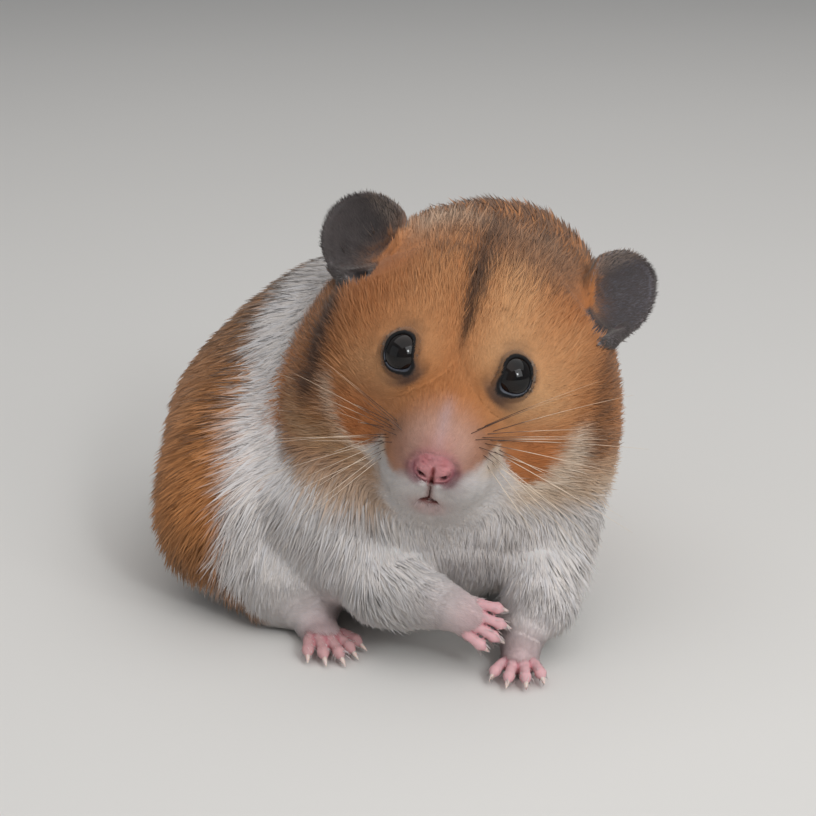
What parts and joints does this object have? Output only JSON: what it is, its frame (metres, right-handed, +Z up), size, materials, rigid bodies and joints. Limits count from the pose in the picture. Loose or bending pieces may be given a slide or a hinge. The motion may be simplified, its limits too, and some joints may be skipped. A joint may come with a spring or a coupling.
{
  "type": "syrian hamster figure",
  "caption": "Life-size still model of a golden Syrian hamster sitting with its head turned and one forepaw lifted.",
  "frame": {"origin": "middle of the footprint's box, on the floor", "axes": "+Z up; the trunk lies along Y with the rump towards +Y; the face looks towards -Y and -X"},
  "size_m": [0.0728, 0.097, 0.0639],
  "materials": {
    "fur": "soft matte coat, golden orange over grey, white below",
    "pale_fur": "soft matte white coat",
    "ear_skin": "thin dark grey skin with a bloom of fine pale hairs",
    "bare_skin": "soft pink skin, slightly moist sheen",
    "eye": "wet gloss, near black"
  },
  "bodies": {
    "root": {"head": "fur", "neck": "fur", "trunk": "fur", "tail": "bare_skin", "foreleg_left": "pale_fur", "foreleg_right": "pale_fur", "hindleg_left": "fur", "hindleg_right": "fur", "forepaw_left": "bare_skin", "forepaw_right": "bare_skin", "hindfoot_left": "bare_skin", "hindfoot_right": "bare_skin", "ear_left": "ear_skin", "ear_right": "ear_skin", "eye_left": "eye", "eye_right": "eye"}
  },
  "joints": []
}
